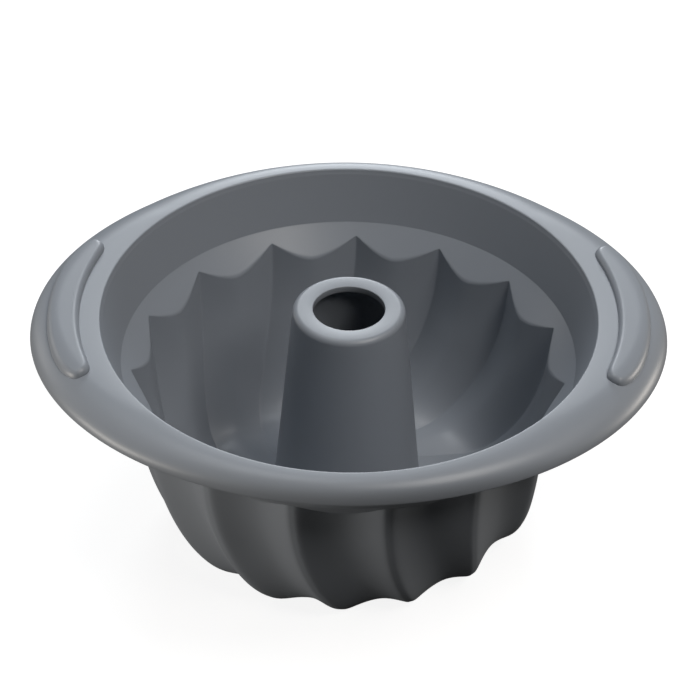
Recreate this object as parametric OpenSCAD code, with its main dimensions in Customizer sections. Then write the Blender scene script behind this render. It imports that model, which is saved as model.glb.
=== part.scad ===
// Fluted tube pan in moulded silicone, millimetres, +Z up.
// The origin is on the surface that the pan stands on, under the centre of its tube.
// +X points to the right-hand grip and -Y to the front.
// The pan is one moulding, drawn here as the sections between its creases, which meet face to face.

/* [Opening and collar] */
// Diameter of the round opening at the top edge of the collar
opening_d = 220; // [180:1:260]
// Drop from the rim's top to the crease where the ledge starts
collar_drop = 24.4; // [18:0.2:34]
// How far the collar's wall draws in, in radius, from the opening to that crease
collar_draw_in = 8.2; // [5:0.1:11]
// Slope of the ledge, which runs down from the crease to the flutes
ledge_angle = 48; // [30:1:60]
// Width of the ledge seen from above at its narrowest, where it meets the flutes' sharp ridges
ledge_w = 4.5; // [1.5:0.1:8]

/* [Silicone] */
// Thickness of the bowl's wall, the collar, the ledge and the tube
wall = 2.5; // [1.8:0.1:3]
// Thickness of the rim
rim_t = 2.6; // [2:0.1:3.2]

/* [Rim] */
// Reach of the rim beyond the opening at each grip
grip_reach = 31.6; // [27:0.1:40]
// Reach of the rim beyond the opening at the front and back
side_reach = 10.9; // [9:0.1:14]
// Depth of the turned-down lip below the rim's top at the grips
grip_lip_drop = 11.5; // [9:0.1:15]
// Depth of the turned-down lip at the front and back
side_lip_drop = 9.8; // [7:0.1:12]
// Width of the rounded shoulder over which the rim turns down at the grips
grip_roll = 13.7; // [10:0.1:18]
// Extra width of that shoulder where the rim is halfway between grip and front
middle_roll_gain = 5.2; // [3:0.1:7]
// Radius of the rounding on the opening's top edge
opening_edge_r = 0.8; // [0.4:0.1:1.2]
// Least width of the flat between that rounding and the shoulder
rim_land = 0.6; // [0.3:0.1:1.5]

/* [Grip pads] */
// Distance from the opening to a pad's inner foot
pad_offset = 9.2; // [7:0.1:12]
// Width of a pad at its middle
pad_w = 14.1; // [9:0.1:15]
// Height of a pad above the rim
pad_h = 3; // [2:0.1:4]
// Width of the rounding along a pad's edge
pad_edge_w = 2.6; // [1.5:0.1:3.5]
// Angle that a pad spans round the opening
pad_angle = 46.4; // [30:0.2:60]

/* [Flutes] */
// Number of flutes
flute_count = 15; // [12:1:18]
// Depth of the flutes at the ledge
flute_depth = 6.8; // [4:0.1:9]
// Angle that a flute turns, seen from above, on its way down to the tube's foot
swirl_angle = 32; // [0:1:45]
// Direction of one ridge at the ledge, counted from +X
flute_phase = 88.3; // [0:0.1:120]
// Reach of the rounding where the ledge turns down into a flute
flute_edge_w = 1.6; // [0.8:0.1:2.2]

/* [Bowl] */
// Depth from the rim's top to the lowest point inside
bowl_depth = 111.5; // [95:0.5:130]
// Diameter of the ring on which the bowl is deepest
deep_ring_d = 125; // [115:0.5:135]
// How far the bowl's side draws in, in radius, besides its rounding
side_draw_in = 6.2; // [3:0.1:9]
// Rise of the bottom from its lowest ring to the tube's foot
tube_foot_rise = 4.2; // [2:0.1:7]
// Depth of the small flats that the ridges stand on
foot_flat = 0.6; // [0.4:0.1:0.9]

/* [Tube] */
// Diameter of the hole in the tube's top
hole_d = 32; // [20:0.5:36]
// Diameter of the tube at its top
tube_top_d = 50.4; // [46:0.2:56]
// Diameter of the tube at the level of its foot
tube_foot_d = 68.6; // [62:0.2:74]
// Height of the tube's top above the rim's top
tube_top_rise = 1.4; // [0:0.1:6]
// Thickness of the tube's top ring
tube_ring_t = 3.2; // [2:0.1:5]
// Radius of the rounding round the tube's top
tube_edge_r = 2.8; // [1.5:0.1:4]
// Radius of the fillet at the tube's foot
tube_fillet_r = 3.2; // [2:0.1:5]

/* [Hidden] */

silicone = [0.44, 0.46, 0.49];
pad_tint = [0.49, 0.51, 0.54];

// Smoothness of the drawing
turn_segments = 120;
rim_segments = 96;
arc_steps = 5;

// Levels above the surface that the pan stands on
rim_z = bowl_depth + wall - foot_flat;
crease_z = rim_z - collar_drop;
deep_z = rim_z - bowl_depth;
foot_z = deep_z + tube_foot_rise;
tube_top_z = rim_z + tube_top_rise;

// Radii
opening_r = opening_d / 2;
crease_r = opening_r - collar_draw_in;
ridge_r = crease_r - ledge_w;
deep_r = deep_ring_d / 2;
tube_foot_r = tube_foot_d / 2 + tube_fillet_r;

// Inside radius of the collar at a height
function collar_r(z) = opening_r - collar_draw_in * (rim_z - z) / collar_drop;

// Heights of the ledge's two faces at a radius
function ledge_top(r) = crease_z - (crease_r - r) * tan(ledge_angle);
function ledge_under(r) = ledge_top(r) - wall / cos(ledge_angle);

// Outside corner where the collar's wall and the ledge meet, across from the crease
collar_lean = atan(collar_draw_in / collar_drop);
crease_bend = 90 - ledge_angle - collar_lean;
crease_across = collar_lean + crease_bend / 2;
crease_out = [crease_r, crease_z] + wall / cos(crease_bend / 2) * [cos(crease_across), -sin(crease_across)];

// A point given by its radius, its direction and its height
function polar(r, a, z) = [r * cos(a), r * sin(a), z];

// Points of an arc round a centre, from angle a to angle b
function arc(centre, r, a, b, steps = arc_steps) =
    [for (k = [0:steps]) centre + r * [cos(a + (b - a) * k / steps), sin(a + (b - a) * k / steps)]];

// Triangles of a closed skin: columns run round the axis, and each column is a closed loop of rows
function skin_faces(columns, rows) =
    [for (i = [0:columns - 1])
     for (j = [0:rows - 1])
     let (i2 = (i + 1) % columns, j2 = (j + 1) % rows)
     let (p = i * rows + j, q = i2 * rows + j, r = i2 * rows + j2, s = i * rows + j2)
     each [[p, q, r], [p, r, s]]];

// Rim

// Outline of the rim: a superellipse, a little fuller at its ends than an ellipse
outline_power = 1.95;
rim_half_length = opening_r + grip_reach;
rim_half_width = opening_r + side_reach;
function lip_r(a) =
    pow(pow(abs(cos(a)) / rim_half_length, outline_power)
        + pow(abs(sin(a)) / rim_half_width, outline_power), -1 / outline_power);
function lip_drop(a) = side_lip_drop + (grip_lip_drop - side_lip_drop) * pow(cos(a), 2);
function roll_w(a) =
    min(grip_roll + 2 * middle_roll_gain * pow(sin(a), 2),
        lip_r(a) - opening_r - opening_edge_r - rim_land);
function shoulder_r(a) = lip_r(a) - roll_w(a);

// Fullness of the shoulder: a quarter of an ellipse at the grips, squarer at the front and back
side_roll_gain = 0.8;
function roll_power(a) = 2 + side_roll_gain * pow(sin(a), 4);

// Height of the rim's top surface at a radius and a direction
function rim_top(r, a) =
    let (out = max(0, min(1, (r - shoulder_r(a)) / roll_w(a))), power = roll_power(a))
    rim_z - lip_drop(a) * (1 - pow(1 - pow(out, power), 1 / power));

// One section of the rim, as radius and height: over the top, round the lip and back underneath
function rim_section(a) =
    let (under_r = max(shoulder_r(a), opening_r + wall + rim_land))
    let (under_w = lip_r(a) - rim_t - under_r)
    let (under_h = lip_drop(a) - rim_t, fullness = 2 / roll_power(a))
    concat(
        [[collar_r(rim_z - rim_t), rim_z - rim_t]],
        arc([opening_r + opening_edge_r, rim_z - opening_edge_r], opening_edge_r, 180, 90, 2),
        [for (k = [0:arc_steps]) let (t = 90 * k / arc_steps)
            [shoulder_r(a) + roll_w(a) * pow(sin(t), fullness),
             rim_z - lip_drop(a) * (1 - pow(cos(t), fullness))]],
        [for (k = [arc_steps:-1:0]) let (t = 90 * k / arc_steps)
            [under_r + under_w * pow(sin(t), fullness),
             rim_z - rim_t - under_h * (1 - pow(cos(t), fullness))]]);

module rim_flange() {
    sections = [for (i = [0:rim_segments - 1]) rim_section(360 * i / rim_segments)];
    rows = len(sections[0]);
    points = [for (i = [0:rim_segments - 1])
              for (p = sections[i])
              polar(p[0], 360 * i / rim_segments, p[1])];
    color(silicone)
        polyhedron(points, skin_faces(rim_segments, rows), convexity = 6);
}

// Grip pads

pad_r = opening_r + pad_offset + pad_w / 2;
pad_edge_steps = 4;

// Places of an outline's points, from a pad's middle to its end, as shares of half its angle
pad_half_shares = [0, 0.2, 0.4, 0.6, 0.75, 0.86, 0.93, 0.97, 0.99, 1];
pad_shares = concat([for (k = [len(pad_half_shares) - 1:-1:1]) -pad_half_shares[k]], pad_half_shares);
pad_last = len(pad_shares) - 1;

// Fullness of the outline's two long sides: a pad is a crescent with one nearly straight-cut side
pad_inner_power = 22;
pad_outer_power = 4.2;

// Insets of the rings under a pad, from its middle outwards, as shares of half its width
seat_shares = [0.8, 0.5, 0.25, 0];
// Insets of the rings on its top, as shares of what the rounding leaves of that half width
top_shares = [0.35, 0.7];

// Outline of a pad drawn in by an inset, as radius and angle, anticlockwise from one end
function pad_outline(inset) =
    let (half_w = pad_w / 2 - inset, half_a = pad_angle / 2 - asin(inset / pad_r))
    concat(
        [for (u = pad_shares)
            [pad_r + half_w * sqrt(1 - pow(abs(u), pad_outer_power)), half_a * u]],
        [for (k = [pad_last - 1:-1:1])
            let (u = pad_shares[k])
            [pad_r - half_w * sqrt(1 - pow(abs(u), pad_inner_power)), half_a * u]]);

// That outline laid on the rim's rolling top and raised above it
function pad_ring(inset, rise) =
    [for (p = pad_outline(inset)) polar(p[0], p[1], rim_top(p[0], p[1]) + rise)];

// Triangles across a pad, between the two long sides of a ring
function pad_cap() =
    concat(
        [[0, 1, 2 * pad_last - 1]],
        [for (k = [1:pad_last - 2])
            each [[k, k + 1, 2 * pad_last - k - 1], [k, 2 * pad_last - k - 1, 2 * pad_last - k]]],
        [[pad_last - 1, pad_last, pad_last + 1]]);

module grip_pad() {
    rings = concat(
        [for (s = seat_shares) pad_ring(s * pad_w / 2, 0)],
        [for (k = [1:pad_edge_steps]) let (t = 90 * k / pad_edge_steps)
            pad_ring(pad_edge_w * (1 - cos(t)), pad_h * sin(t))],
        [for (s = top_shares) pad_ring(pad_edge_w + s * (pad_w / 2 - pad_edge_w), pad_h)]);
    count = len(rings[0]);
    top = len(rings) - 1;
    sides = [for (j = [0:top - 1])
             for (i = [0:count - 1])
             let (i2 = (i + 1) % count)
             each [[j * count + i, (j + 1) * count + i2, j * count + i2],
                   [j * count + i, (j + 1) * count + i, (j + 1) * count + i2]]];
    bottom_faces = pad_cap();
    top_faces = [for (f = bottom_faces) [f[0], f[2], f[1]] + top * count * [1, 1, 1]];
    color(pad_tint)
        polyhedron([for (ring = rings) each ring], concat(bottom_faces, sides, top_faces),
                   convexity = 4);
}

module grip_pad_right() {
    grip_pad();
}

module grip_pad_left() {
    rotate(180)
        grip_pad();
}

// Collar

// Tapered wall that ends at the crease
module collar_wall() {
    top_z = rim_z - rim_t;
    top_r = collar_r(top_z);
    color(silicone)
        rotate_extrude($fn = turn_segments)
            polygon([[top_r, top_z], [crease_r, crease_z], crease_out,
                     [top_r + wall / cos(collar_lean), top_z]]);
}

// Flutes

// Places of a flute's columns between one ridge and the next, as shares of the pitch
column_shares = [0, 0.05, 0.15, 0.275, 0.4, 0.54, 0.66, 0.77, 0.87, 0.95];
// Place of the deepest fluting between two ridges, a little past the middle
crest_share = 0.54;
flute_power = 1.7;
// Rounding of the ridges outside, and the narrow flats along them
ridge_round_share = 0.1;
ridge_flat_share = 0.05;
outer_power = 1.9;

// How far a column is from the nearest ridge: 0 on a ridge, 1 where the fluting is deepest
function off_ridge(u) = u < crest_share ? u / crest_share : (1 - u) / (1 - crest_share);

// Share of the fluting's depth, inside with sharp ridges and outside with rounded ones
function inner_share(c) = 1 - pow(1 - c, flute_power);
function outer_share(c) =
    let (d = max(0, c - ridge_flat_share) / (1 - ridge_flat_share), e = ridge_round_share)
    let (m = (sqrt(d * d + e * e) - e) / (sqrt(1 + e * e) - e))
    1 - pow(1 - m, outer_power);

columns = [for (f = [0:flute_count - 1])
           for (u = column_shares)
           [flute_phase + (f + u) * 360 / flute_count, off_ridge(u)]];

// Reach of the rounding on the ledge's edge, least at the ridges' sharp ends
cusp_share = 0.2;
function edge_reach(c) = flute_edge_w * (cusp_share + (1 - cusp_share) * inner_share(c));

// Scalloped line where the ledge and the flutes would meet without it, and the edge where it starts
function brim_r(c) = ridge_r - flute_depth * inner_share(c);
function ledge_edge_r(c) = brim_r(c) + edge_reach(c) * cos(ledge_angle);

// Ledge

// Sloping ring with a scalloped inner edge
module ledge_ring() {
    blank_r = ridge_r - flute_depth;
    color(silicone)
        difference() {
            rotate_extrude($fn = turn_segments)
                polygon([[crease_r, crease_z], [blank_r, ledge_top(blank_r)],
                         [blank_r, ledge_under(blank_r)], crease_out]);
            linear_extrude(rim_z)
                polygon([for (c = columns) ledge_edge_r(c[1]) * [cos(c[0]), sin(c[0])]]);
        }
}

// Bowl

side_steps = 10;
floor_steps = 3;
// Places of the rounding's points between the ledge and a flute, as shares of its curve
edge_shares = [1 / 3, 2 / 3];
// Depth over which the slope of the flutes' upper ends dies out below the ledge
brim_blend_h = 40;
// Angle down the side of the first ring below the rounding
first_ring_angle = 3;
side_power = 2.43;
// How the turning of the flutes gathers pace and their depth fades, along the ridge
swirl_power = 2.4;
fade_power = 2.2;
side_top_z = ledge_top(ridge_r);

// Ridge line inside, t degrees round the side: straight down at the ledge, level at the deepest ring
function side_point(t) =
    let (down = pow(sin(t), 2 / side_power), out = pow(cos(t), 2 / side_power))
    let (draw_in = side_draw_in * down)
    [deep_r + (ridge_r - draw_in - deep_r) * out, side_top_z - (side_top_z - deep_z) * down];

// Ridge line over the bottom, from the deepest ring in to the tube's foot
function floor_point(k) =
    [deep_r + (tube_foot_r - deep_r) * k, deep_z + tube_foot_rise * k * k];

ridge_line = concat(
    [side_point(0), side_point(first_ring_angle)],
    [for (k = [1:side_steps]) side_point(90 * k / side_steps)],
    [for (k = [1:floor_steps]) floor_point(k / floor_steps)]);
stations = len(ridge_line);

// Length along the ridge line up to station i, and its share of the whole
function run(i) = i == 0 ? 0 : run(i - 1) + norm(ridge_line[i] - ridge_line[i - 1]);
whole_run = run(stations - 1);
run_shares = [for (i = [0:stations - 1]) run(i) / whole_run];

// Direction out of the silicone at a station, seen in the section: level at the ledge and at the foot
function out_of(i) =
    i == 0 ? [1, 0] :
    i == stations - 1 ? [0, -1] :
    let (d = ridge_line[i + 1] - ridge_line[i - 1])
    [-d[1], d[0]] / norm(d);

function fluting(i) = flute_depth * (1 - pow(run_shares[i], fade_power));
function turn(i) = swirl_angle * pow(run_shares[i], swirl_power);

// Share of the ledge's slope that a station takes on: the flutes start on the slope, not on a level
function sag(i) = max(0, 1 - (side_top_z - ridge_line[i][1]) / brim_blend_h);

// Points of the skin at a station, for a column in direction a that is c off its ridge
function inner_point(i, a, c) =
    let (p = ridge_line[i] - out_of(i) * fluting(i) * inner_share(c))
    let (fall = flute_depth * inner_share(c) * tan(ledge_angle) + edge_reach(c))
    polar(p[0], a + turn(i), p[1] - sag(i) * fall);
function outer_point(i, a, c) =
    let (p = ridge_line[i] + out_of(i) * (wall - fluting(i) * outer_share(c)))
    let (fall = flute_depth * outer_share(c) * tan(ledge_angle)
                + wall * (1 / cos(ledge_angle) - tan(ledge_angle)))
    polar(p[0], a + turn(i), max(0, p[1] - sag(i) * fall));

// One column of the skin: down outside, back up inside, over the rounding and down the ledge's edge
function bowl_column(a, c) =
    let (edge_r = ledge_edge_r(c), edge_top = [edge_r, ledge_top(edge_r)])
    let (corner = [brim_r(c), ledge_top(brim_r(c))])
    let (start = [corner[0], corner[1] - edge_reach(c)])
    concat(
        [for (i = [0:stations - 1]) outer_point(i, a, c)],
        [for (i = [stations - 1:-1:0]) inner_point(i, a, c)],
        [for (s = edge_shares)
            let (p = pow(1 - s, 2) * start + 2 * s * (1 - s) * corner + s * s * edge_top)
            polar(p[0], a, p[1])],
        [polar(edge_r, a, edge_top[1]), polar(edge_r, a, ledge_under(edge_r))]);

module fluted_bowl() {
    skin = [for (c = columns) bowl_column(c[0], c[1])];
    rows = len(skin[0]);
    color(silicone)
        polyhedron([for (column = skin) each column], skin_faces(len(columns), rows), convexity = 10);
}

// Tube

module centre_tube() {
    slope = (tube_foot_d - tube_top_d) / 2 / (tube_top_z - foot_z);
    lean = atan(slope);
    edge = [tube_top_d / 2 - tube_edge_r, tube_top_z - tube_edge_r];
    foot = [tube_foot_r, foot_z + tube_fillet_r];
    under_ring_z = tube_top_z - tube_ring_t;
    under_ring_r = tube_top_d / 2 + slope * tube_ring_t - wall;
    color(silicone)
        rotate_extrude($fn = turn_segments)
            polygon(concat(
                [[hole_d / 2, under_ring_z], [hole_d / 2, tube_top_z]],
                arc(edge, tube_edge_r, 90, lean),
                arc(foot, tube_fillet_r, 180 + lean, 270),
                arc(foot, tube_fillet_r + wall, 270, 180 + lean),
                [[under_ring_r, under_ring_z]]));
}

rim_flange();
grip_pad_left();
grip_pad_right();
collar_wall();
ledge_ring();
fluted_bowl();
centre_tube();
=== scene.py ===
import math

import bpy
import numpy as np
from mathutils import Matrix, Vector


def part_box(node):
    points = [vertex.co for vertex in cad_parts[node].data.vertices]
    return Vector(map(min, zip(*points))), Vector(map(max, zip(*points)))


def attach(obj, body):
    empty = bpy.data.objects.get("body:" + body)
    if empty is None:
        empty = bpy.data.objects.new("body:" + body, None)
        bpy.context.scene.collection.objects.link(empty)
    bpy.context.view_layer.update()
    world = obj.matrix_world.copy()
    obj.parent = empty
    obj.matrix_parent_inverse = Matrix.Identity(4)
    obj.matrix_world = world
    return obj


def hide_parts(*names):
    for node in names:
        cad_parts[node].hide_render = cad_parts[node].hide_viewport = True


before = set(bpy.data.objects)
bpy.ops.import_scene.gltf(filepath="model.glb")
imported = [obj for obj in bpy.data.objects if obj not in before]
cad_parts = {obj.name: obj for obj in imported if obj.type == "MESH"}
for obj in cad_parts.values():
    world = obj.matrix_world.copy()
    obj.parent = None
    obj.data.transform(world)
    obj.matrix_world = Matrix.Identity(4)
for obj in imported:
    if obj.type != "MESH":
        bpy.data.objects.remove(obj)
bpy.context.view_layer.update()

bl_info = {
    "name": "Fluted Tube Pan",
    "version": (1, 0, 0),
    "blender": (4, 5, 0),
    "location": "3D View > Sidebar > Tube Pan",
    "description": "Builds a swirled silicone tube pan, its silicone and its studio",
    "category": "Object",
}

MM = 0.001


# Sizes that the CAD frame gives

def highest(node):
    """The highest x, y and z of a CAD node."""
    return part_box(node)[1]


RIM_Z = highest("rim_flange").z
CREASE_Z = highest("ledge_ring").z


def length(label, description, default, low=0.0):
    """A size in metres that the sidebar shows."""
    return bpy.props.FloatProperty(
        name=label, description=description, default=default, min=low, precision=5,
        unit="LENGTH", subtype="DISTANCE")


def share(label, description, default, low=0.0, high=1.0):
    """A number without a unit that the sidebar shows."""
    return bpy.props.FloatProperty(
        name=label, description=description, default=default, min=low, max=high, precision=3)


def angle(label, description, degrees):
    """An angle that the sidebar shows in degrees."""
    return bpy.props.FloatProperty(
        name=label, description=description, default=math.radians(degrees), unit="ROTATION",
        subtype="ANGLE")


class PanRimSizes(bpy.types.PropertyGroup):
    """Sizes of the rim, the collar, the ledge and the grip pads"""

    opening_r: length("Opening radius", "Radius of the round opening at the collar's top", 110 * MM)
    top_z: length("Top height", "Height of the rim's flat top", RIM_Z)
    thickness: length("Rim thickness", "Thickness of the rim", 2.6 * MM)
    half_length: length("Half length", "Reach of the rim from the middle to a grip",
                        highest("rim_flange").x)
    half_width: length("Half width", "Reach of the rim from the middle to the front",
                       highest("rim_flange").y)
    outline_power: share("Outline power", "Fullness of the rim's outline: 2 is an ellipse", 1.95,
                         1.5, 3.0)
    grip_drop: length("Lip drop at the grips", "Depth of the turned-down lip at a grip", 11.5 * MM)
    side_drop: length("Lip drop at the front", "Depth of the lip at the front and back", 9.8 * MM)
    grip_roll: length("Shoulder width", "Width of the rounded shoulder at a grip", 13.7 * MM)
    roll_gain: length("Shoulder gain", "Extra width of the shoulder halfway to the front", 5.2 * MM)
    roll_fullness: share("Shoulder fullness", "How much squarer the shoulder is at the front", 0.8)
    inner_edge_r: length("Inner edge rounding", "Rounding of the opening's top edge", 0.8 * MM)
    land: length("Flat land", "Least flat between that rounding and the shoulder", 0.6 * MM)
    lip_edge_r: length("Lip edge rounding", "Rounding of the lip's two lower edges", 0.7 * MM)
    pad_offset: length("Pad offset", "Distance from the opening to a pad's foot", 9.2 * MM)
    pad_w: length("Pad width", "Width of a grip pad at its middle", 14.1 * MM)
    pad_h: length("Pad height", "Height of a grip pad above the rim", 3.0 * MM)
    pad_edge_w: length("Pad rounding", "Width of the rounding along a pad's edge", 2.6 * MM)
    pad_angle: angle("Pad angle", "Angle that a pad spans round the opening", 46.4)
    collar_draw_in: length("Collar draw-in", "How far the collar's wall leans in on its way down",
                           8.2 * MM)
    crease_z: length("Crease height", "Height where the collar meets the ledge", CREASE_Z)
    crease_fillet_r: length("Crease fillet", "Fillet along that crease", 1.2 * MM)
    ledge_slope: angle("Ledge slope", "Slope of the ledge, down towards the flutes", 48)
    wall: length("Wall", "Thickness of the collar, the ledge, the bowl and the tube", 2.5 * MM)
    join_w: length("Joining strip", "Part of the ledge that each neighbour carries", 0.8 * MM)


class PanBowlSizes(bpy.types.PropertyGroup):
    """Sizes of the fluted bowl and of the tube"""

    flutes: bpy.props.IntProperty(name="Flutes", description="Number of flutes", default=15, min=6,
                                  max=30)
    ridge_r: length("Ridge radius", "Radius over the sharp ridges at the ledge, inside", 97.3 * MM)
    flute_depth: length("Flute depth", "Depth of the flutes at the ledge", 6.8 * MM)
    swirl: angle("Swirl", "Angle that a flute turns on its way down", 32)
    first_ridge: angle("First ridge", "Direction of one ridge at the ledge", 88.3)
    edge_r: length("Edge rounding", "Rounding where the ledge turns down into a flute", 1.6 * MM)
    cusp_r: length("Cusp rounding", "Rounding of that edge at the ridges", 0.32 * MM)
    brim_blend: length("Brim blend", "Depth over which the ledge's slope dies out in the flutes",
                       40 * MM)
    deep_z: length("Lowest inside", "Height of the lowest point inside", 1.9 * MM)
    deep_r: length("Deepest ring", "Radius of the ring on which the bowl is deepest", 62.5 * MM)
    draw_in: length("Side draw-in", "How far the side draws in, besides its rounding", 6.2 * MM)
    foot_rise: length("Foot rise", "Rise of the bottom up to the tube's foot", 4.2 * MM)
    hole_r: length("Hole radius", "Radius of the hole in the tube's top", 16 * MM)
    tube_top_r: length("Tube top radius", "Radius of the tube at its top", 25.2 * MM)
    tube_foot_r: length("Tube foot radius", "Radius of the tube at its foot", 34.3 * MM)
    tube_top_z: length("Tube top height", "Height of the tube's top", highest("centre_tube").z)
    tube_ring_t: length("Tube ring", "Thickness of the ring round the hole", 3.2 * MM)
    tube_edge_r: length("Tube edge rounding", "Rounding round the tube's top", 2.8 * MM)
    tube_fillet_r: length("Tube fillet", "Fillet at the tube's foot", 3.2 * MM)


class PanFinish(bpy.types.PropertyGroup):
    """Colour and surface of the silicone"""

    colour: bpy.props.FloatVectorProperty(
        name="Silicone", description="Colour of the silicone", subtype="COLOR", size=3,
        default=(0.258, 0.283, 0.318), min=0.0, max=1.0)
    pad_colour: bpy.props.FloatVectorProperty(
        name="Grip pads", description="Colour of the grip pads", subtype="COLOR", size=3,
        default=(0.258, 0.283, 0.318), min=0.0, max=1.0)
    roughness: share("Roughness", "Roughness of the satin surface", 0.64)
    mottle: share("Mottling", "How much the colour and the gloss vary over the surface", 0.05)
    grain: share("Grain", "Strength of the fine moulded grain", 0.3)


class PanStudio(bpy.types.PropertyGroup):
    """Light and camera"""

    sky: share("Sky", "Strength of the even light from all round", 0.01, 0.0, 3.0)
    lamps: share("Lamps", "Power of all lamps against the listed power", 1.0, 0.0, 10.0)
    lens: bpy.props.FloatProperty(name="Lens", description="Focal length in millimetres",
                                  default=153.5, min=10, max=400, unit="CAMERA")


# Helpers for meshes

SHARP_ANGLE = math.radians(38)


def polar(radius, turn, height):
    """Points given by radius, direction and height, as an array of x, y, z."""
    radius, turn, height = np.broadcast_arrays(radius, turn, height)
    return np.stack([radius * np.cos(turn), radius * np.sin(turn), height], axis=-1)


def arc(centre, radius, start, end, steps):
    """Points of an arc in a section, from angle start to angle end, in radians."""
    t = np.linspace(start, end, steps + 1)
    return np.stack([centre[0] + radius * np.cos(t), centre[1] + radius * np.sin(t)], axis=-1)


def signed_volume(points, quads):
    """Six times the volume inside a closed skin: below zero if its faces look inwards."""
    p = points[quads]
    return float((np.cross(p[:, 0], p[:, 1]) * p[:, 2]).sum()
                 + (np.cross(p[:, 0], p[:, 2]) * p[:, 3]).sum())


def ring_skin(columns):
    """Vertices and quads of a closed skin from an array of columns by rows by 3."""
    count, rows = columns.shape[:2]
    at = np.arange(count * rows).reshape(count, rows)
    right, down = np.roll(at, -1, axis=0), np.roll(at, -1, axis=1)
    quads = np.stack([at, right, np.roll(right, -1, axis=1), down], axis=-1).reshape(-1, 4)
    points = columns.reshape(-1, 3)
    if signed_volume(points, quads) < 0:
        quads = quads[:, ::-1]
    return points, quads


def finish_piece(name, mesh, material, node):
    """Makes a mesh a piece that stands for a CAD node and rides on the pan's body."""
    for polygon in mesh.polygons:
        polygon.use_smooth = True
    mesh.set_sharp_from_angle(angle=SHARP_ANGLE)
    mesh.materials.clear()
    mesh.materials.append(material)
    piece = bpy.data.objects.new(name, mesh)
    bpy.context.scene.collection.objects.link(piece)
    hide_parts(node)
    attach(piece, "root")


def mesh_from(name, points, faces):
    """A checked mesh from points and faces."""
    mesh = bpy.data.meshes.new(name)
    mesh.from_pydata([tuple(p) for p in points], [], [tuple(int(i) for i in f) for f in faces])
    if mesh.validate():
        raise RuntimeError(f"{name}: the mesh had faulty faces")
    mesh.update()
    return mesh


# Silicone

SILICONE_IOR = 1.43
# Scale and detail of the noise in the colour, in the gloss and in the moulded grain
COLOUR_NOISE = 38, 3
GLOSS_NOISE = 90, 4
GRAIN_NOISE = 1400, 2
GRAIN_H = 0.05 * MM
# Noise stays between these levels nearly everywhere
NOISE_LOW, NOISE_HIGH = 0.3, 0.7


def silicone_material(name, colour, finish):
    """Satin moulded silicone: faint mottling, fine grain and a soft gloss."""
    found = bpy.data.materials.get(name)
    if found:
        return found
    material = bpy.data.materials.new(name)
    material.use_nodes = True
    nodes, links = material.node_tree.nodes, material.node_tree.links
    shader = next(n for n in nodes if n.type == "BSDF_PRINCIPLED")
    shader.inputs["IOR"].default_value = SILICONE_IOR
    place = nodes.new("ShaderNodeTexCoord").outputs["Object"]

    def noise(scale, detail):
        node = nodes.new("ShaderNodeTexNoise")
        node.inputs["Scale"].default_value = scale
        node.inputs["Detail"].default_value = detail
        links.new(place, node.inputs["Vector"])
        return node.outputs["Fac"]

    def spread(source, low, high):
        """Noise spread out between two values."""
        node = nodes.new("ShaderNodeMapRange")
        node.inputs["From Min"].default_value = NOISE_LOW
        node.inputs["From Max"].default_value = NOISE_HIGH
        node.inputs["To Min"].default_value = low
        node.inputs["To Max"].default_value = high
        links.new(source, node.inputs["Value"])
        return node.outputs["Result"]

    broad, fine = noise(*COLOUR_NOISE), noise(*GRAIN_NOISE)
    tint = nodes.new("ShaderNodeVectorMath")
    tint.operation = "SCALE"
    tint.inputs[0].default_value = colour
    links.new(spread(broad, 1 - finish.mottle, 1 + finish.mottle), tint.inputs["Scale"])
    links.new(tint.outputs["Vector"], shader.inputs["Base Color"])
    gloss = spread(noise(*GLOSS_NOISE), finish.roughness - finish.mottle,
                   finish.roughness + finish.mottle)
    links.new(gloss, shader.inputs["Roughness"])
    bump = nodes.new("ShaderNodeBump")
    bump.inputs["Strength"].default_value = finish.grain
    bump.inputs["Distance"].default_value = GRAIN_H
    links.new(fine, bump.inputs["Height"])
    links.new(bump.outputs["Normal"], shader.inputs["Normal"])
    return material


def body_material(scene):
    return silicone_material("silicone", scene.pan_finish.colour, scene.pan_finish)


def pad_material(scene):
    return silicone_material("silicone_grip", scene.pan_finish.pad_colour, scene.pan_finish)


# Rim and collar

TURNS = np.linspace(0, 2 * math.pi, 360, endpoint=False)
# Steps along the parts of the rim's and the collar's sections
INNER_EDGE_STEPS = 6
SHOULDER_POINTS = 28
UNDER_POINTS = 14
LIP_STEPS = 5
COLLAR_POINTS = 9
CREASE_STEPS = 8


def collar_r(s, z):
    """Inside radius of the collar at a height."""
    return s.opening_r - s.collar_draw_in * (s.top_z - z) / (s.top_z - s.crease_z)


def ledge_top(s, radius):
    """Height of the ledge's upper face."""
    return s.crease_z - (s.opening_r - s.collar_draw_in - radius) * math.tan(s.ledge_slope)


def under_ledge(s, radius):
    """Points of the ledge's lower face, straight through the silicone from the upper one."""
    return radius + s.wall * math.sin(s.ledge_slope), (
        ledge_top(s, radius) - s.wall * math.cos(s.ledge_slope))


def ledge_border_r(s):
    """Radius at which the collar's piece hands over to the ledge's."""
    bend = math.pi / 2 - s.ledge_slope - collar_lean(s)
    fillet = s.crease_fillet_r * math.tan(bend / 2) * math.cos(s.ledge_slope)
    return s.opening_r - s.collar_draw_in - fillet - s.join_w


def collar_lean(s):
    """Lean of the collar's wall off the vertical."""
    return math.atan(s.collar_draw_in / (s.top_z - s.crease_z))


def lip_r(s, turn):
    """Radius of the rim's outline in a direction."""
    power = s.outline_power
    return ((np.abs(np.cos(turn)) / s.half_length) ** power
            + (np.abs(np.sin(turn)) / s.half_width) ** power) ** (-1 / power)


def lip_drop(s, turn):
    """Depth of the turned-down lip in a direction."""
    return s.side_drop + (s.grip_drop - s.side_drop) * np.cos(turn) ** 2


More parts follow.
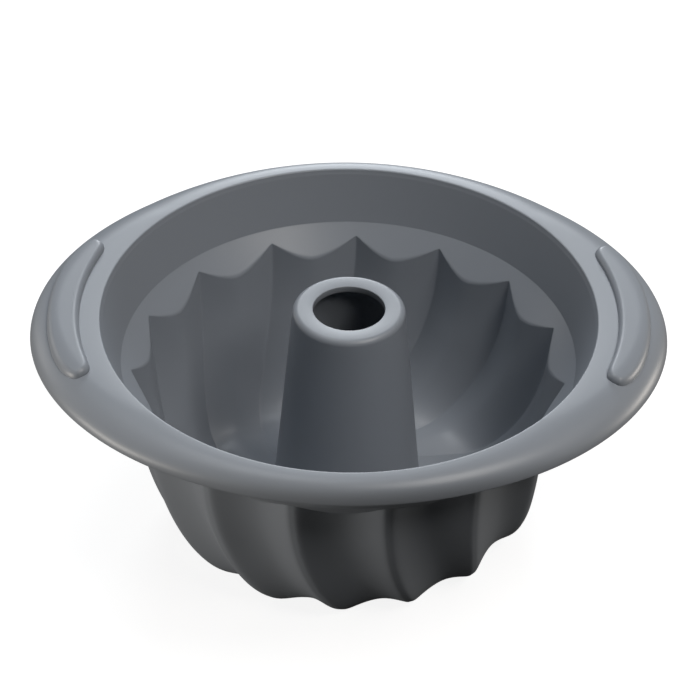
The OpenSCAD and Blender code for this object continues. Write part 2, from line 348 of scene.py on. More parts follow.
def roll_w(s, turn):
    """Width of the rounded shoulder, as far as the rim has room for it."""
    room = lip_r(s, turn) - s.opening_r - s.inner_edge_r - s.land
    return np.minimum(s.grip_roll + 2 * s.roll_gain * np.sin(turn) ** 2, room)


def roll_power(s, turn):
    """Fullness of the shoulder: 2 is a quarter of an ellipse."""
    return 2 + s.roll_fullness * np.sin(turn) ** 4


def rim_top(s, radius, turn):
    """Height of the rim's top surface."""
    wide, power = roll_w(s, turn), roll_power(s, turn)
    out = np.clip((radius - lip_r(s, turn) + wide) / wide, 0, 1)
    return s.top_z - lip_drop(s, turn) * (1 - (1 - out ** power) ** (1 / power))


def quarter(start_r, start_z, wide, drop, t, power):
    """Points of a shoulder that starts level and ends straight down."""
    return np.stack([start_r + wide * np.sin(t) ** (2 / power),
                     start_z - drop * (1 - np.cos(t) ** (2 / power))], axis=-1)


def rim_section(s, turn):
    """One section of the rim, over its top, round the lip and back underneath."""
    under_z = s.top_z - s.thickness
    outer, drop, wide = lip_r(s, turn), lip_drop(s, turn), roll_w(s, turn)
    shoulder, foot_z, edge = outer - wide, s.top_z - drop, s.lip_edge_r
    edge_z = s.top_z - s.inner_edge_r
    rows = [[(collar_r(s, under_z), under_z)],
            [(collar_r(s, (under_z + edge_z) / 2), (under_z + edge_z) / 2)],
            arc((s.opening_r + s.inner_edge_r, edge_z), s.inner_edge_r, math.pi,
                math.pi / 2, INNER_EDGE_STEPS)]
    power = roll_power(s, turn)
    last = math.acos((edge / drop) ** (power / 2))
    rows.append(quarter(shoulder, s.top_z, wide, drop,
                        np.linspace(0, last, SHOULDER_POINTS), power))
    edge_r = shoulder + wide * math.sin(last) ** (2 / power) - edge
    rows.append(arc((edge_r, foot_z + edge), edge, 0, -math.pi / 2, LIP_STEPS)[1:])
    back_r = edge_r + edge - s.thickness
    rows.append(arc((back_r + edge, foot_z + edge), edge, -math.pi / 2, -math.pi, LIP_STEPS))
    under_r = max(shoulder, s.opening_r + s.wall + s.land)
    last = math.acos((edge / (drop - s.thickness)) ** (power / 2))
    rows.append(quarter(under_r, under_z, back_r - under_r, drop - s.thickness,
                        np.linspace(last, 0, UNDER_POINTS)[1:], power))
    return np.concatenate([np.asarray(r, float) for r in rows])


def collar_section(s):
    """Section of the collar: the tapered wall, the crease and the start of the ledge."""
    lean, foot_turn, fillet = collar_lean(s), s.ledge_slope - math.pi / 2, s.crease_fillet_r
    half_bend = (-foot_turn - lean) / 2
    out = fillet / math.cos(half_bend)
    across = -lean - half_bend
    centre = (s.opening_r - s.collar_draw_in - out * math.cos(across),
              s.crease_z - out * math.sin(across))
    heights = np.linspace(s.top_z - s.thickness, centre[1] - fillet * math.sin(lean),
                          COLLAR_POINTS)[:-1]
    wall = np.stack([collar_r(s, heights), heights], axis=-1)
    inner = arc(centre, fillet, -lean, foot_turn, CREASE_STEPS)
    outer = arc(centre, fillet + s.wall, foot_turn, -lean, CREASE_STEPS)
    strip_r = ledge_border_r(s)
    strip = [(strip_r, ledge_top(s, strip_r)), under_ledge(s, strip_r)]
    return np.concatenate([wall, inner, strip, outer, wall[::-1] + [s.wall / math.cos(lean), 0]])


# Bowl and tube

# Columns of faces over one flute, and rows down the skin and over the rounded edge
COLUMNS = 30
SIDE_ROWS = 72
EDGE_ROWS = 10
# Where a flute is deepest, between its two ridges
CREST_SHARE = 0.54
# Fullness of a flute, inside and outside, and the flat and the rounding on its ridges
FLUTE_POWER = 1.7
OUTER_POWER = 1.9
INNER_ROUND_SHARE = 0.02
OUTER_ROUND_SHARE = 0.1
OUTER_FLAT_SHARE = 0.05
# The ridge line: fullness of the side, and the share of the line that is side, not bottom
SIDE_POWER = 2.43
SIDE_SHARE = 0.72
LINE_POINTS = 400
# How the flutes turn and fade on their way down
SWIRL_POWER = 2.4
FADE_POWER = 2.2
# Share over which the wall's direction turns from level to square
LEVEL_SHARE = 0.02
# Share of the edge's rows that is ledge, before the rounding
STRIP_SHARE = 0.2
MERGE_GAP = 0.01 * MM
HOLE_EDGE_R = 0.35 * MM
TUBE_ROUND_STEPS = 14
TUBE_SIDE_POINTS = 16


class Field:
    """A value in a node tree, with the sums that formulas need."""

    def __init__(self, tree, socket):
        self.tree, self.socket = tree, socket

    def of(self, operation, *values):
        """The result of a math node on numbers and fields."""
        node = self.tree.nodes.new("ShaderNodeMath")
        node.operation = operation
        for slot, value in zip(node.inputs, values):
            if isinstance(value, Field):
                self.tree.links.new(value.socket, slot)
            else:
                slot.default_value = value
        return Field(self.tree, node.outputs[0])

    def sum(self, operation, *others):
        return self.of(operation, self, *others)

    def __add__(self, other):
        return self.sum("ADD", other)

    __radd__ = __add__

    def __sub__(self, other):
        return self.sum("SUBTRACT", other)

    def __rsub__(self, first):
        return self.of("SUBTRACT", first, self)

    def __mul__(self, other):
        return self.sum("MULTIPLY", other)

    __rmul__ = __mul__

    def __truediv__(self, other):
        return self.sum("DIVIDE", other)

    def __rtruediv__(self, first):
        return self.of("DIVIDE", first, self)

    def __pow__(self, other):
        return self.sum("POWER", other)

    def __gt__(self, other):
        return self.sum("GREATER_THAN", other)

    def clamped(self, low=0.0, high=1.0):
        return self.sum("MAXIMUM", low).sum("MINIMUM", high)

    def sin(self):
        return self.sum("SINE")

    def cos(self):
        return self.sum("COSINE")

    def mix(self, zero, one):
        """zero where this is 0 and one where it is 1."""
        return zero + (one - zero) * self


class GeometryTree:
    """A geometry node tree that is built in code, with named inputs."""

    def __init__(self, name):
        self.tree = bpy.data.node_groups.new(name, "GeometryNodeTree")
        self.nodes, self.links = self.tree.nodes, self.tree.links
        self.tree.interface.new_socket("Geometry", in_out="OUTPUT",
                                       socket_type="NodeSocketGeometry")
        self.entry, self.values = self.nodes.new("NodeGroupInput"), {}
        self.exit = self.nodes.new("NodeGroupOutput")

    def input(self, name, kind, description, value):
        made = self.tree.interface.new_socket(name, in_out="INPUT", socket_type=kind)
        made.description = description
        self.values[made.identifier] = value
        return Field(self.tree, self.entry.outputs[name])

    def node(self, kind, settings=None, **inputs):
        made = self.nodes.new(kind)
        for key, value in (settings or {}).items():
            setattr(made, key, value)
        for key, value in inputs.items():
            slot = made.inputs[key.replace("_", " ")]
            if isinstance(value, Field):
                value = value.socket
            if isinstance(value, bpy.types.NodeSocket):
                self.links.new(value, slot)
            else:
                slot.default_value = value
        return made

    def vector(self, x, y, z):
        return self.node("ShaderNodeCombineXYZ", X=x, Y=y, Z=z).outputs[0]

    def parts(self, vector):
        made = self.node("ShaderNodeSeparateXYZ", Vector=vector)
        return [Field(self.tree, s) for s in made.outputs]

    def placed(self, geometry, position):
        return self.node("GeometryNodeSetPosition", Geometry=geometry,
                         Position=position).outputs[0]

    def joined(self, *geometries):
        made = self.nodes.new("GeometryNodeJoinGeometry")
        for geometry in reversed(geometries):
            self.links.new(geometry, made.inputs[0])
        return made.outputs[0]

    def run_on(self, name):
        """Puts the tree on a new object and returns the plain mesh that it makes."""
        maker = bpy.data.objects.new(name, bpy.data.meshes.new(name))
        bpy.context.scene.collection.objects.link(maker)
        modifier = maker.modifiers.new(name, "NODES")
        modifier.node_group = self.tree
        for identifier, value in self.values.items():
            modifier[identifier] = value
        graph = bpy.context.evaluated_depsgraph_get()
        graph.update()
        mesh = bpy.data.meshes.new_from_object(maker.evaluated_get(graph))
        maker.modifiers.clear()
        bpy.data.objects.remove(maker)
        mesh.name = name
        if not mesh.polygons:
            raise RuntimeError(f"{name}: the node tree made no faces")
        return mesh


def off_ridge(u):
    """How far a column is from the nearest ridge: 0 on it, 1 where the fluting is deepest."""
    past = u > CREST_SHARE
    return past.mix(u / CREST_SHARE, (1 - u) / (1 - CREST_SHARE))


def softened(c, flat, rounding):
    """The same, with a flat on the ridge and a rounding beside it."""
    d = (c - flat).clamped() / (1 - flat)
    whole = math.hypot(1, rounding) - rounding
    return ((d * d + rounding * rounding).sum("SQRT") - rounding) / whole


def inner_share(c):
    """Share of the flute's depth on the inside, from off_ridge."""
    return 1 - (1 - softened(c, 0, INNER_ROUND_SHARE)).clamped() ** FLUTE_POWER


def outer_share(c):
    """The same on the outside."""
    return 1 - (1 - softened(c, OUTER_FLAT_SHARE, OUTER_ROUND_SHARE)).clamped() ** OUTER_POWER


def bottom_end(bowl):
    """Where the rising bottom runs into the tube's fillet: radius, height and slope."""
    run = bowl.deep_r - bowl.tube_foot_r - bowl.tube_fillet_r
    along = 1.0
    # The fillet's end and the slope there depend on each other, and settle in a few turns
    for _ in range(8):
        slope = math.atan(2 * bowl.foot_rise * along / run)
        end_r = bowl.tube_foot_r + bowl.tube_fillet_r * (1 - math.sin(slope))
        along = (bowl.deep_r - end_r) / run
    return end_r, bowl.deep_z + bowl.foot_rise * along * along, slope


def bowl_tree(rim, bowl, material):
    """One flute between two ridges, wrapped down the bowl's section and turned round the axis."""
    g = GeometryTree("fluted_bowl")

    def size(name, description, value):
        return g.input(name, "NodeSocketFloat", description, value)

    flutes = g.input("Flutes", "NodeSocketInt", "Number of flutes", bowl.flutes)
    ridge_r = size("Ridge radius", "Radius over the ridges at the ledge", bowl.ridge_r)
    depth = size("Flute depth", "Depth of the flutes at the ledge", bowl.flute_depth)
    swirl = size("Swirl", "Angle that a flute turns on its way down", bowl.swirl)
    first = size("First ridge", "Direction of one ridge", bowl.first_ridge)
    edge_r = size("Edge rounding", "Rounding at the ledge over a flute", bowl.edge_r)
    cusp_r = size("Cusp rounding", "Rounding at the ledge over a ridge", bowl.cusp_r)
    strip = size("Joining strip", "Part of the ledge round the flutes", rim.join_w)
    top_z = size("Ridge height", "Height at which the ridges end", ledge_top(rim, bowl.ridge_r))
    slope = size("Ledge slope", "Slope of the ledge", rim.ledge_slope)
    blend = size("Brim blend", "Depth over which that slope dies out", bowl.brim_blend)
    wall = size("Wall", "Thickness of the silicone", rim.wall)
    deep_z = size("Lowest inside", "Height of the lowest point inside", bowl.deep_z)
    deep_r = size("Deepest ring", "Radius of the deepest ring", bowl.deep_r)
    draw_in = size("Side draw-in", "How far the side draws in", bowl.draw_in)
    end_r, end_z, _ = bottom_end(bowl)
    foot_r = size("Foot radius", "Radius where the bottom meets the tube's fillet", end_r)
    foot_rise = size("Foot rise", "Rise of the bottom to the tube", end_z - bowl.deep_z)
    finish = g.input("Material", "NodeSocketMaterial", "Silicone", material)

    # The ridge line, in the section: down the side, then over the bottom to the tube's foot
    line = g.node("GeometryNodeCurvePrimitiveLine", Start=(0, 0, 0), End=(1, 0, 0)).outputs[0]
    line = g.node("GeometryNodeResampleCurve", Curve=line, Count=LINE_POINTS).outputs[0]
    t = Field(g.tree, g.node("GeometryNodeSplineParameter").outputs["Factor"])
    down_turn = (t / SIDE_SHARE).clamped() * (math.pi / 2)
    down = down_turn.sin().clamped() ** (2 / SIDE_POWER)
    out = down_turn.cos().clamped() ** (2 / SIDE_POWER)
    in_share = ((t - SIDE_SHARE) / (1 - SIDE_SHARE)).clamped()
    side_r = deep_r + (ridge_r - draw_in * down - deep_r) * out
    line_r = side_r + (foot_r - deep_r) * in_share
    line_z = top_z - (top_z - deep_z) * down + foot_rise * in_share * in_share
    ridge_line = g.placed(line, g.vector(line_r, 0.0, line_z))

    def grid(rows):
        """A sheet over one flute, with its share round the flute and its share down."""
        made = g.node("GeometryNodeMeshGrid", Size_X=1.0, Size_Y=1.0, Vertices_X=COLUMNS + 1,
                      Vertices_Y=rows + 1).outputs[0]
        x, y, _ = g.parts(g.node("GeometryNodeInputPosition").outputs[0])
        return made, 0.5 - ((x + 0.5) * math.pi).cos() * 0.5, y + 0.5

    def wrapped(sheet, u, radius, height, turn=0.0):
        direction = first + u * (2 * math.pi) / flutes + turn
        place = g.vector(radius * direction.cos(), radius * direction.sin(), height)
        return g.placed(sheet, place)

    def flipped(sheet):
        return g.node("GeometryNodeFlipFaces", Mesh=sheet).outputs[0]

    def section(v):
        """Point of the ridge line and the way out of the silicone there."""
        at = g.node("GeometryNodeSampleCurve", {"mode": "FACTOR"}, Curves=ridge_line,
                    Factor=v)
        r, _, z = g.parts(at.outputs["Position"])
        along_r, _, along_z = g.parts(at.outputs["Tangent"])
        return r, z, 0 - along_z, along_r

    steep = slope.sum("TANGENT")

    def reach(lobe):
        return cusp_r + (edge_r - cusp_r) * lobe

    def skin(thickness, share_of, fall_of):
        sheet, u, v = grid(SIDE_ROWS)
        r, z, out_r, out_z = section(v)
        lobe = share_of(off_ridge(u))
        offset = thickness - depth * (1 - v ** FADE_POWER) * lobe
        # Level at the ledge, and square to the ridge line a little further down
        level = (v / LEVEL_SHARE).clamped()
        sag = (1 - (top_z - z) / blend).clamped()
        height = z + level * out_z * offset - sag * fall_of(lobe)
        return wrapped(sheet, u, r + level.mix(1.0, out_r) * offset, height.sum("MAXIMUM", 0.0),
                       swirl * v ** SWIRL_POWER)

    def fall(lobe):
        """Fall of the ledge's face from a ridge to a place over a flute."""
        return depth * lobe * steep

    inner = skin(0.0, inner_share, lambda lobe: fall(lobe) + reach(lobe))
    under_drop = wall * (1 / slope.cos() - steep)
    outer = flipped(skin(wall, outer_share, lambda lobe: fall(lobe) + under_drop))

    # The rounded edge and the strip of ledge that goes with it
    sheet, u, v = grid(EDGE_ROWS)
    lobe = inner_share(off_ridge(u))
    round_share = ((v - STRIP_SHARE) / (1 - STRIP_SHARE)).clamped()
    left = (1 - round_share) * (1 - round_share)
    along = strip * (1 - v / STRIP_SHARE).clamped() + reach(lobe) * slope.cos() * left
    edge = wrapped(sheet, u, ridge_r - depth * lobe + along,
                   top_z - fall(lobe) + along * steep - reach(lobe) * round_share * round_share)

    # The faces that meet the ledge and the tube
    sheet, u, v = grid(2)
    c = off_ridge(u)
    lobe = inner_share(c)
    along = strip + reach(lobe) * slope.cos()
    through = (v * 2).clamped()
    seat_r = ridge_r - depth * lobe + along + wall * slope.sin() * through
    seat_z = top_z - fall(lobe) + along * steep - wall * slope.cos() * through
    lobe = outer_share(c)
    back = (v * 2 - 1).clamped()
    seat = flipped(wrapped(sheet, u, back.mix(seat_r, ridge_r + wall - depth * lobe),
                           back.mix(seat_z, top_z - fall(lobe) - under_drop)))
    sheet, u, v = grid(1)
    r, z, out_r, out_z = section(1.0)
    foot = wrapped(sheet, u, r + out_r * wall * v, (z + out_z * wall * v).sum("MAXIMUM", 0.0),
                   swirl)

    flute = g.joined(inner, outer, edge, seat, foot)
    spots = g.node("GeometryNodeMeshLine", Count=flutes, Offset=(0, 0, 0)).outputs[0]
    number = Field(g.tree, g.node("GeometryNodeInputIndex").outputs[0])
    turned = g.vector(0.0, 0.0, number * (2 * math.pi) / flutes)
    ring = g.node("GeometryNodeInstanceOnPoints", Points=spots, Instance=flute,
                  Rotation=turned).outputs[0]
    ring = g.node("GeometryNodeRealizeInstances", Geometry=ring).outputs[0]
    ring = g.node("GeometryNodeMergeByDistance", Geometry=ring, Distance=MERGE_GAP).outputs[0]
    ring = g.node("GeometryNodeSetMaterial", Geometry=ring, Material=finish).outputs[0]
    g.links.new(ring, g.exit.inputs[0])
    return g


def column_turns(bowl):
    """Directions of the bowl's columns, and how far each is off its ridge."""
    u = 0.5 - 0.5 * np.cos(np.pi * np.arange(COLUMNS) / COLUMNS)
    c = np.where(u > CREST_SHARE, (1 - u) / (1 - CREST_SHARE), u / CREST_SHARE)
    flute = np.arange(bowl.flutes)[:, None]
    turns = bowl.first_ridge + (flute + u) * 2 * math.pi / bowl.flutes
    return turns.ravel(), np.tile(c, bowl.flutes)


def scallop_r(rim, bowl, c):
    """Radius at which the slope of the ledge ends."""
    whole = math.hypot(1, INNER_ROUND_SHARE) - INNER_ROUND_SHARE
    soft = (np.hypot(c, INNER_ROUND_SHARE) - INNER_ROUND_SHARE) / whole
    lobe = 1 - np.clip(1 - soft, 0, 1) ** FLUTE_POWER
    reach = bowl.cusp_r + (bowl.edge_r - bowl.cusp_r) * lobe
    return bowl.ridge_r - bowl.flute_depth * lobe + reach * math.cos(rim.ledge_slope)


def tube_section(rim, bowl):
    """Section of the tube: ring, rounded top edge, leaning side, fillet and the hollow inside."""
    end_r, end_z, slope = bottom_end(bowl)
    lean = math.atan((bowl.tube_foot_r - bowl.tube_top_r) / (bowl.tube_top_z - end_z))
    edge = (bowl.tube_top_r - bowl.tube_edge_r, bowl.tube_top_z - bowl.tube_edge_r)
    foot = (end_r + bowl.tube_fillet_r * math.sin(slope),
            end_z + bowl.tube_fillet_r * math.cos(slope))
    under_z = bowl.tube_top_z - bowl.tube_ring_t
    under_r = bowl.tube_top_r + math.tan(lean) * bowl.tube_ring_t - rim.wall
    hole = HOLE_EDGE_R
    side_turn, foot_turn = math.pi + lean, 1.5 * math.pi - slope
    outer_foot = arc(foot, bowl.tube_fillet_r + rim.wall, foot_turn, side_turn,
                     TUBE_ROUND_STEPS)
    rise = np.linspace(0, 1, TUBE_SIDE_POINTS)[1:-1, None]
    top_side = np.array(edge) + bowl.tube_edge_r * np.array([math.cos(lean), math.sin(lean)])
    foot_side = np.array(foot) - bowl.tube_fillet_r * np.array([math.cos(lean), math.sin(lean)])
    inner_low, inner_high = outer_foot[-1], np.array([under_r, under_z])
    return np.concatenate([
        arc((bowl.hole_r + hole, under_z + hole), hole, 1.5 * math.pi, math.pi, 3),
        arc((bowl.hole_r + hole, bowl.tube_top_z - hole), hole, math.pi, math.pi / 2, 4),
        arc(edge, bowl.tube_edge_r, math.pi / 2, lean, TUBE_ROUND_STEPS),
        top_side + (foot_side - top_side) * rise,
        arc(foot, bowl.tube_fillet_r, side_turn, foot_turn, TUBE_ROUND_STEPS),
        outer_foot,
        inner_low + (inner_high - inner_low) * rise,
        [inner_high]])


# Grip pads

# Steps from the middle to an end, up the rounding and over the top
PAD_HALF_STEPS = 44
PAD_EDGE_STEPS = 12
PAD_TOP_STEPS = 6
# How far a pad's foot is sunk into the rim
PAD_SEAT = 0.4 * MM
# How much closer the points stand at the ends, and the fullness of the two long sides
PAD_END_POWER = 2.6
PAD_INNER_POWER = 22
PAD_OUTER_POWER = 4.2
# How near the top's last ring comes to the pad's middle line
PAD_LAST_SHARE = 0.96


def pad_ring(rim, inset, rise):
    """Outline of the right-hand pad, drawn in by an inset and raised above the rim's surface."""
    middle_r = rim.opening_r + rim.pad_offset + rim.pad_w / 2
    half_w, half_a = rim.pad_w / 2 - inset, rim.pad_angle / 2 - inset / middle_r
    half = 1 - (1 - np.linspace(0, 1, PAD_HALF_STEPS + 1)) ** PAD_END_POWER
    u = np.concatenate([-half[:0:-1], half])
    outer = middle_r + half_w * np.sqrt(1 - np.abs(u) ** PAD_OUTER_POWER)
    inner = middle_r - half_w * np.sqrt(1 - np.abs(u) ** PAD_INNER_POWER)
    radius = np.concatenate([outer, inner[-2:0:-1]])
    turn = half_a * np.concatenate([u, u[-2:0:-1]])
    return polar(radius, turn, rim_top(rim, radius, turn) + rise)


def pad_mesh(rim, side):
    """A pad that follows the rim's rolling top, with a rounded edge."""
    rings = [pad_ring(rim, 0.0, -PAD_SEAT)]
    for t in np.linspace(0, math.pi / 2, PAD_EDGE_STEPS + 1):
        rings.append(pad_ring(rim, rim.pad_edge_w * (1 - math.cos(t)), rim.pad_h * math.sin(t)))
    room = rim.pad_w / 2 - rim.pad_edge_w
    for k in np.linspace(0, PAD_LAST_SHARE, PAD_TOP_STEPS + 1)[1:]:
        rings.append(pad_ring(rim, rim.pad_edge_w + k * room, rim.pad_h))
    count, top = len(rings[0]), len(rings) - 1
    faces = []
    for j in range(top):
        for i in range(count):
            after = (i + 1) % count
            faces.append((j * count + i, j * count + after, (j + 1) * count + after,
                          (j + 1) * count + i))
    last = 2 * PAD_HALF_STEPS
    cap = [(0, 1, 2 * last - 1), (last - 1, last, last + 1)]
    cap += [(k, k + 1, 2 * last - k - 1, 2 * last - k) for k in range(1, last - 1)]
    faces += [tuple(i + top * count for i in face) for face in cap]
    faces += [face[::-1] for face in cap]
    points = np.concatenate(rings) * [side, side, 1]
    return points, faces


# Operators

class PanOperator:
    """What the pan's operators share."""

    bl_options = {"REGISTER", "UNDO"}

    def revolved(self, name, section, material, node):
        """Turns a section round the axis and makes it the piece of a CAD node."""
        columns = polar(section[None, :, 0], TURNS[:, None], section[None, :, 1])
        mesh = mesh_from(name, *ring_skin(columns))
        finish_piece(name, mesh, material, node)


class PAN_OT_rim(PanOperator, bpy.types.Operator):
    """Builds the broad rim with its turned-down lip"""

    bl_idname = "tube_pan.rim"
    bl_label = "Rim"

    def execute(self, context):
        scene = context.scene
        columns = []
        for turn in TURNS:
            section = rim_section(scene.pan_rim, turn)
            columns.append(polar(section[:, 0], turn, section[:, 1]))
        mesh = mesh_from("rim", *ring_skin(np.array(columns)))
        finish_piece("rim", mesh, body_material(scene), "rim_flange")
        return {"FINISHED"}


class PAN_OT_grips(PanOperator, bpy.types.Operator):
    """Builds the two raised grip pads"""

    bl_idname = "tube_pan.grips"
    bl_label = "Grip pads"

    def execute(self, context):
        scene = context.scene
        for side, name in ((1, "right"), (-1, "left")):
            mesh = mesh_from(f"grip_{name}", *pad_mesh(scene.pan_rim, side))
            finish_piece(f"grip_{name}", mesh, pad_material(scene),
                         f"grip_pad_{name}")
        return {"FINISHED"}


class PAN_OT_collar(PanOperator, bpy.types.Operator):
    """Builds the collar's wall down to the crease"""

    bl_idname = "tube_pan.collar"
    bl_label = "Collar"

    def execute(self, context):
        scene = context.scene
        self.revolved("collar", collar_section(scene.pan_rim), body_material(scene),
                      "collar_wall")
        return {"FINISHED"}


class PAN_OT_ledge(PanOperator, bpy.types.Operator):
    """Builds the sloping ledge round the scalloped edge of the flutes"""

    bl_idname = "tube_pan.ledge"
    bl_label = "Ledge"

    def execute(self, context):
        scene = context.scene
        rim, bowl = scene.pan_rim, scene.pan_bowl
        turns, c = column_turns(bowl)
        inside = scallop_r(rim, bowl, c) + rim.join_w
        outside = np.full_like(inside, ledge_border_r(rim))
        inside_under, outside_under = under_ledge(rim, inside), under_ledge(rim, outside)
        columns = np.stack([polar(outside, turns, ledge_top(rim, outside)),
                            polar(inside, turns, ledge_top(rim, inside)),
                            polar(inside_under[0], turns, inside_under[1]),
                            polar(outside_under[0], turns, outside_under[1])], axis=1)
        mesh = mesh_from("ledge", *ring_skin(columns))
        finish_piece("ledge", mesh, body_material(scene), "ledge_ring")
        return {"FINISHED"}


class PAN_OT_bowl(PanOperator, bpy.types.Operator):
    """Builds the swirled, fluted bowl with a geometry node tree"""

    bl_idname = "tube_pan.bowl"
    bl_label = "Fluted bowl"

    def execute(self, context):
        scene = context.scene
        material = body_material(scene)
        mesh = bowl_tree(scene.pan_rim, scene.pan_bowl, material).run_on("bowl")
        finish_piece("bowl", mesh, material, "fluted_bowl")
        return {"FINISHED"}


class PAN_OT_tube(PanOperator, bpy.types.Operator):
    """Builds the hollow centre tube"""

    bl_idname = "tube_pan.tube"
    bl_label = "Centre tube"

    def execute(self, context):
        scene = context.scene
        self.revolved("tube", tube_section(scene.pan_rim, scene.pan_bowl),
                      body_material(scene), "centre_tube")
        return {"FINISHED"}


# Studio

CAMERA_ELEVATION = math.radians(38.04)
CAMERA_ROLL = math.radians(0.746)
CAMERA_DISTANCE = 1.3222
CAMERA_SHIFT = (0.66 * MM, -17.38 * MM)
SENSOR_W = 36
FLOOR_HALF = 4.0
# The floor's grey and glow, for light that bounces and for the camera
FLOOR_WHITE = 0.04, 0.3
FLOOR_GLOW = 0.02, 0.88
LAMP_AIM = 0, 0, 0.08
FAR, NEAR = 1.6, 0.8
WIDE, SMALL = (0.6, 0.6), (0.4, 0.4)
STRIP = 0.3, 0.09
# Name, direction from +X and rise in degrees, distance, size, watts, colour. The strips stand
# low beside the pan and draw the stripes on its flutes.
LAMPS = (
    ("key_front_right", 310, 50, FAR, SMALL, 4.5, (1.0, 0.96, 0.91)),
    ("high_right", 335, 63, FAR, WIDE, 9.0, (1.0, 0.96, 0.92)),
    ("back", 90, 23, FAR, WIDE, 11.0, (0.9, 0.95, 1.0)),
    ("top_back_left", 120, 70, FAR, WIDE, 5.0, (0.94, 0.97, 1.0)),
    ("top_left", 180, 68, FAR, WIDE, 2.0, (0.96, 0.98, 1.0)),
    ("low_back_left", 150, 10, FAR, WIDE, 2.0, (1.0, 0.95, 0.9)),
    ("strip_left", 195, -2, NEAR, STRIP, 1.9, (1.0, 0.94, 0.86)),
    ("strip_front_left", 210, -2, NEAR, STRIP, 0.9, (1.0, 0.94, 0.86)),
    ("strip_right", 13, -2, NEAR, STRIP, 1.8, (1.0, 0.93, 0.84)),
)


def camera_matrix():
    """The photograph's viewpoint, aimed at the middle of the opening."""
    back = Vector((0, -math.cos(CAMERA_ELEVATION), math.sin(CAMERA_ELEVATION)))
    right, up = Vector((1, 0, 0)), Vector((0, math.sin(CAMERA_ELEVATION),
                                           math.cos(CAMERA_ELEVATION)))
    place = (back * CAMERA_DISTANCE + right * CAMERA_SHIFT[0] + up * CAMERA_SHIFT[1]
             + Vector((0, 0, RIM_Z)))
    c, s = math.cos(CAMERA_ROLL), math.sin(CAMERA_ROLL)
    turned = Matrix((right * c + up * s, up * c - right * s, back)).transposed()
    return Matrix.Translation(place) @ turned.to_4x4()


def floor_material():
    """White to the camera, with the soft shadow that the pan casts, and clear from below."""
    material = bpy.data.materials.new("studio_white")
    material.use_nodes = True
    nodes, links = material.node_tree.nodes, material.node_tree.links
    nodes.clear()
    path, face = nodes.new("ShaderNodeLightPath"), nodes.new("ShaderNodeNewGeometry")
    diffuse, glow = nodes.new("ShaderNodeBsdfDiffuse"), nodes.new("ShaderNodeEmission")
    for socket, levels in ((diffuse.inputs["Color"], FLOOR_WHITE),
                           (glow.inputs["Strength"], FLOOR_GLOW)):
        level = nodes.new("ShaderNodeMapRange")
        level.inputs["To Min"].default_value, level.inputs["To Max"].default_value = levels
        links.new(path.outputs["Is Camera Ray"], level.inputs["Value"])
        links.new(level.outputs["Result"], socket)
    both, clear = nodes.new("ShaderNodeAddShader"), nodes.new("ShaderNodeBsdfTransparent")
    links.new(diffuse.outputs[0], both.inputs[0])
    links.new(glow.outputs[0], both.inputs[1])
    choice, out = nodes.new("ShaderNodeMixShader"), nodes.new("ShaderNodeOutputMaterial")
    links.new(face.outputs["Backfacing"], choice.inputs[0])
    links.new(both.outputs[0], choice.inputs[1])
    links.new(clear.outputs[0], choice.inputs[2])
    links.new(choice.outputs[0], out.inputs["Surface"])
    return material


def add_lamp(name, direction, rise, distance, size, watts, colour):
    """An area lamp aimed at the pan and hidden from the camera; angles in degrees."""
    data = bpy.data.lights.new(name, "AREA")
    data.shape = "RECTANGLE" if size == STRIP else "DISK"
    data.size, data.size_y = size
    data.energy, data.color = watts, colour
    turn, rise = math.radians(direction), math.radians(rise)
    away = distance * Vector((math.cos(rise) * math.cos(turn),
                              math.cos(rise) * math.sin(turn), math.sin(rise)))
    lamp = bpy.data.objects.new(name, data)
    lamp.location = Vector(LAMP_AIM) + away
    lamp.rotation_mode = "QUATERNION"
    lamp.rotation_quaternion = (-away).to_track_quat("-Z", "Y")
    lamp.visible_camera = False
    bpy.context.scene.collection.objects.link(lamp)


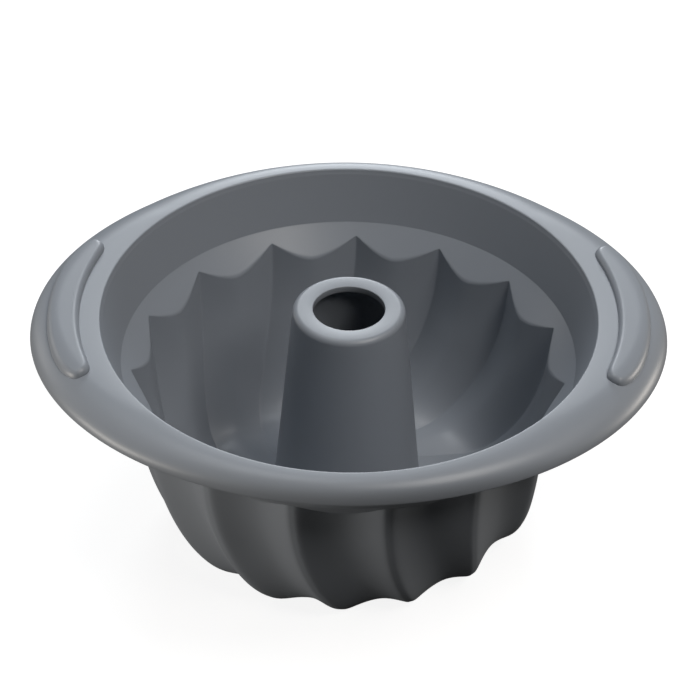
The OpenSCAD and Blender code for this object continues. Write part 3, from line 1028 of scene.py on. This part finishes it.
class PAN_OT_studio(PanOperator, bpy.types.Operator):
    """Adds the white floor, the soft lights and the camera"""

    bl_idname = "tube_pan.studio"
    bl_label = "Studio"

    def execute(self, context):
        scene, studio = context.scene, context.scene.pan_studio
        h = FLOOR_HALF
        mesh = mesh_from("floor", [(-h, -h, 0), (h, -h, 0), (h, h, 0), (-h, h, 0)],
                         [(0, 1, 2, 3)])
        mesh.materials.append(floor_material())
        floor = bpy.data.objects.new("floor", mesh)
        scene.collection.objects.link(floor)

        world = bpy.data.worlds.new("studio_sky")
        world.use_nodes = True
        nodes, links = world.node_tree.nodes, world.node_tree.links
        sky = next(n for n in nodes if n.type == "BACKGROUND")
        sky.inputs["Color"].default_value = (1, 1, 1, 1)
        path, strength = nodes.new("ShaderNodeLightPath"), nodes.new("ShaderNodeMapRange")
        strength.inputs["To Min"].default_value = studio.sky
        strength.inputs["To Max"].default_value = 1.0
        links.new(path.outputs["Is Camera Ray"], strength.inputs["Value"])
        links.new(strength.outputs["Result"], sky.inputs["Strength"])
        scene.world = world

        for name, *place, watts, colour in LAMPS:
            add_lamp(name, *place, watts * studio.lamps, colour)

        data = bpy.data.cameras.new("camera")
        data.lens, data.sensor_width = studio.lens, SENSOR_W
        data.clip_start, data.clip_end = 10 * MM, 100.0
        camera = bpy.data.objects.new("camera", data)
        scene.collection.objects.link(camera)
        camera.matrix_world = camera_matrix()
        scene.camera = camera
        scene.view_settings.view_transform = "Standard"
        return {"FINISHED"}


class PAN_PT_sidebar(bpy.types.Panel):
    """Sizes, finish and studio of the tube pan"""

    bl_idname = "PAN_PT_sidebar"
    bl_label = "Fluted Tube Pan"
    bl_space_type = "VIEW_3D"
    bl_region_type = "UI"
    bl_category = "Tube Pan"

    def draw(self, context):
        scene, layout = context.scene, self.layout
        for title, group in (("Rim", scene.pan_rim), ("Bowl and tube", scene.pan_bowl),
                             ("Finish", scene.pan_finish), ("Studio", scene.pan_studio)):
            box = layout.box()
            box.label(text=title)
            for key in group.bl_rna.properties.keys():
                if key not in ("rna_type", "name"):
                    box.prop(group, key)
        for operator in OPERATORS:
            layout.operator(operator.bl_idname)


GROUPS = {"pan_rim": PanRimSizes, "pan_bowl": PanBowlSizes, "pan_finish": PanFinish,
          "pan_studio": PanStudio}
OPERATORS = (PAN_OT_rim, PAN_OT_grips, PAN_OT_collar, PAN_OT_ledge, PAN_OT_bowl, PAN_OT_tube,
             PAN_OT_studio)


def register():
    for group in GROUPS.values():
        bpy.utils.register_class(group)
    for key, group in GROUPS.items():
        setattr(bpy.types.Scene, key, bpy.props.PointerProperty(type=group))
    for operator in OPERATORS:
        bpy.utils.register_class(operator)
    bpy.utils.register_class(PAN_PT_sidebar)


def unregister():
    bpy.utils.unregister_class(PAN_PT_sidebar)
    for operator in reversed(OPERATORS):
        bpy.utils.unregister_class(operator)
    for key, group in GROUPS.items():
        delattr(bpy.types.Scene, key)
        bpy.utils.unregister_class(group)


def main():
    register()
    for operator in OPERATORS:
        group, name = operator.bl_idname.split(".")
        getattr(getattr(bpy.ops, group), name)()


if __name__ == "__main__":
    main()
